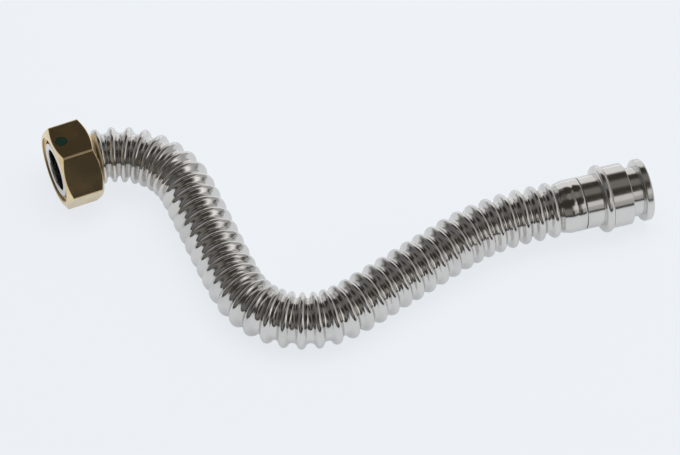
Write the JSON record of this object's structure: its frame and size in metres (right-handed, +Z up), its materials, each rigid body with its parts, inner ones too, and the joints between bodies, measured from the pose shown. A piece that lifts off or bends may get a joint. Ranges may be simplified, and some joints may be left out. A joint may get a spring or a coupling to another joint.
{
  "type": "corrugated water pipe",
  "caption": "Hand-bent corrugated stainless steel water pipe with a loose brass union nut on its flanged end and a plug-in spigot with a seal groove on the other.",
  "frame": {"origin": "on the table, under the middle of the pipe's footprint as it lies", "axes": "+X from the union nut to the spigot, +Y away from the viewer, +Z up"},
  "size_m": [0.2387, 0.1037, 0.03],
  "materials": {
    "tube_steel": "bright annealed stainless steel strip, smooth and glossy",
    "spigot_steel": "turned and polished stainless steel",
    "brass": "satin machined brass"
  },
  "bodies": {
    "pipe": {"corrugated_tube": "tube_steel", "spigot": "spigot_steel"},
    "nut": {"union_nut": "brass"}
  },
  "joints": [
    {"name": "union_nut_spin", "type": "hinge", "parent": "pipe", "child": "nut", "pos_m": [-0.10619, 0.03325, 0.015], "axis": [0.9157, 0.4019, 0], "continuous": true}
  ]
}
